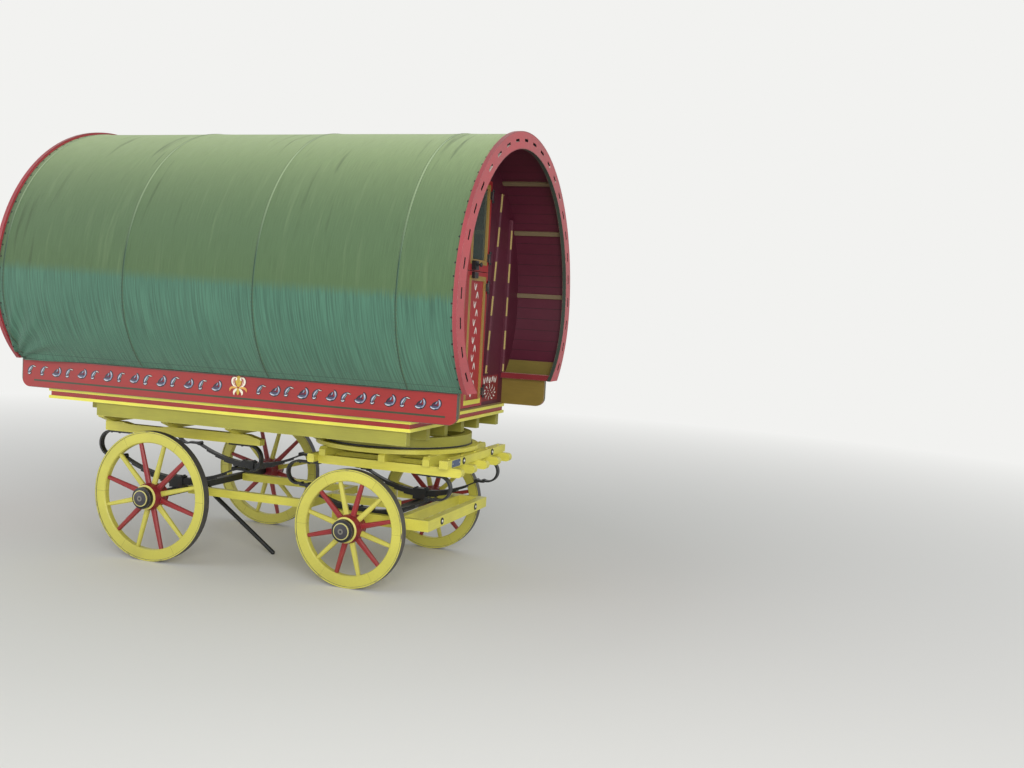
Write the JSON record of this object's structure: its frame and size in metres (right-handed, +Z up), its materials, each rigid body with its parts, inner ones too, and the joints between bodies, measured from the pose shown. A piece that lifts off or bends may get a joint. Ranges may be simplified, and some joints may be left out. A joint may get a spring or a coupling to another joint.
{
  "type": "barrel-top vardo wagon",
  "caption": "Horse-drawn living wagon: arched canvas body with half doors on a sprung dray with a steering fore-carriage and spoked iron-tyred wheels.",
  "frame": {"origin": "on the ground under the middle of the wagon's length and width", "axes": "+X forward along the wagon, +Y to its left, +Z up"},
  "size_m": [3.626, 2.482, 3.2588],
  "materials": {
    "green_canvas": "weathered proofed canvas",
    "red_paint": "gloss paint",
    "dark_red_paint": "gloss paint",
    "maroon_paint": "satin paint",
    "ochre_paint": "satin paint",
    "yellow_paint": "gloss paint",
    "olive_paint": "weathered paint",
    "dark_green_paint": "satin paint",
    "bare_boards": "worn boards",
    "black_iron": "black enamel on wrought iron",
    "tyre_iron": "worn iron tyre",
    "window_glass": "clear window glass"
  },
  "bodies": {
    "wagon": {"canvas_cover": "green_canvas", "bows": "dark_green_paint", "lining": "maroon_paint", "crown_board": "red_paint", "rear_arch_board": "red_paint", "stringers": "ochre_paint", "floor_deck": "bare_boards", "bed_frame": "red_paint", "bed_mouldings": "yellow_paint", "side_boards": "red_paint", "wall_plates": "dark_red_paint", "joists": "olive_paint", "sills": "olive_paint", "cross_bearers": "yellow_paint", "front_wall": "maroon_paint", "front_posts": "maroon_paint", "rear_wall": "red_paint", "rear_window_sash": "ochre_paint", "rear_window_glass": "window_glass", "rear_side_beams": "yellow_paint", "rear_springs": "black_iron", "rear_scroll_irons": "black_iron", "rear_axle": "black_iron", "reach": "yellow_paint", "turntable_upper": "olive_paint", "turntable_iron": "black_iron", "kingpin": "black_iron"},
    "fore_carriage": {"turntable_lower": "yellow_paint", "fore_long_bars": "yellow_paint", "fore_cross_bars": "yellow_paint", "splinter_bar": "yellow_paint", "shaft_washers": "black_iron", "lower_frame": "yellow_paint", "front_springs": "black_iron", "front_scroll_irons": "black_iron", "front_axle": "black_iron"},
    "door_lower_left": {"door_lower_left": "red_paint"},
    "door_lower_right": {"door_lower_right": "red_paint"},
    "door_upper_left": {"door_upper_left": "red_paint", "door_glass_left": "window_glass", "door_latch": "black_iron"},
    "door_upper_right": {"door_upper_right": "red_paint", "door_glass_right": "window_glass"},
    "sprag": {"sprag_pole": "black_iron"},
    "wheel_rear_right": {"wheel_rear_right_tyre": "tyre_iron", "wheel_rear_right_felloes": "yellow_paint", "wheel_rear_right_spokes": "red_paint"},
    "wheel_rear_left": {"wheel_rear_left_tyre": "tyre_iron", "wheel_rear_left_felloes": "yellow_paint", "wheel_rear_left_spokes": "red_paint"},
    "wheel_front_right": {"wheel_front_right_tyre": "tyre_iron", "wheel_front_right_felloes": "yellow_paint", "wheel_front_right_spokes": "red_paint"},
    "wheel_front_left": {"wheel_front_left_tyre": "tyre_iron", "wheel_front_left_felloes": "yellow_paint", "wheel_front_left_spokes": "red_paint"}
  },
  "joints": [
    {"name": "wheel_rear_right_spin", "type": "hinge", "parent": "wagon", "child": "wheel_rear_right", "pos_m": [-0.722, -0.802, 0.4825], "axis": [0, 1, 0], "continuous": true},
    {"name": "wheel_front_right_spin", "type": "hinge", "parent": "fore_carriage", "child": "wheel_front_right", "pos_m": [0.881, -0.727, 0.418], "axis": [0, 1, 0], "continuous": true},
    {"name": "wheel_rear_left_spin", "type": "hinge", "parent": "wagon", "child": "wheel_rear_left", "pos_m": [-0.722, 0.802, 0.4825], "axis": [0, 1, 0], "continuous": true},
    {"name": "wheel_front_left_spin", "type": "hinge", "parent": "fore_carriage", "child": "wheel_front_left", "pos_m": [0.881, 0.727, 0.418], "axis": [0, 1, 0], "continuous": true},
    {"name": "steering", "type": "hinge", "parent": "wagon", "child": "fore_carriage", "pos_m": [0.881, 0, 0.975], "axis": [0, 0, 1], "range_deg": [-28, 28]},
    {"name": "door_lower_left_hinge", "type": "hinge", "parent": "wagon", "child": "door_lower_left", "pos_m": [1.391, 0.414, 1.757], "axis": [0, 0, 1], "range_deg": [0, 105]},
    {"name": "door_lower_right_hinge", "type": "hinge", "parent": "wagon", "child": "door_lower_right", "pos_m": [1.391, -0.414, 1.757], "axis": [0, 0, -1], "range_deg": [0, 105]},
    {"name": "door_upper_left_hinge", "type": "hinge", "parent": "wagon", "child": "door_upper_left", "pos_m": [1.391, 0.414, 2.6195], "axis": [0, 0, 1], "range_deg": [0, 105]},
    {"name": "door_upper_right_hinge", "type": "hinge", "parent": "wagon", "child": "door_upper_right", "pos_m": [1.391, -0.414, 2.6195], "axis": [0, 0, -1], "range_deg": [0, 105]},
    {"name": "sprag_hinge", "type": "hinge", "parent": "wagon", "child": "sprag", "pos_m": [-0.66, -0.17, 0.4425], "axis": [0, -1, 0], "range_deg": [0, 36]}
  ]
}
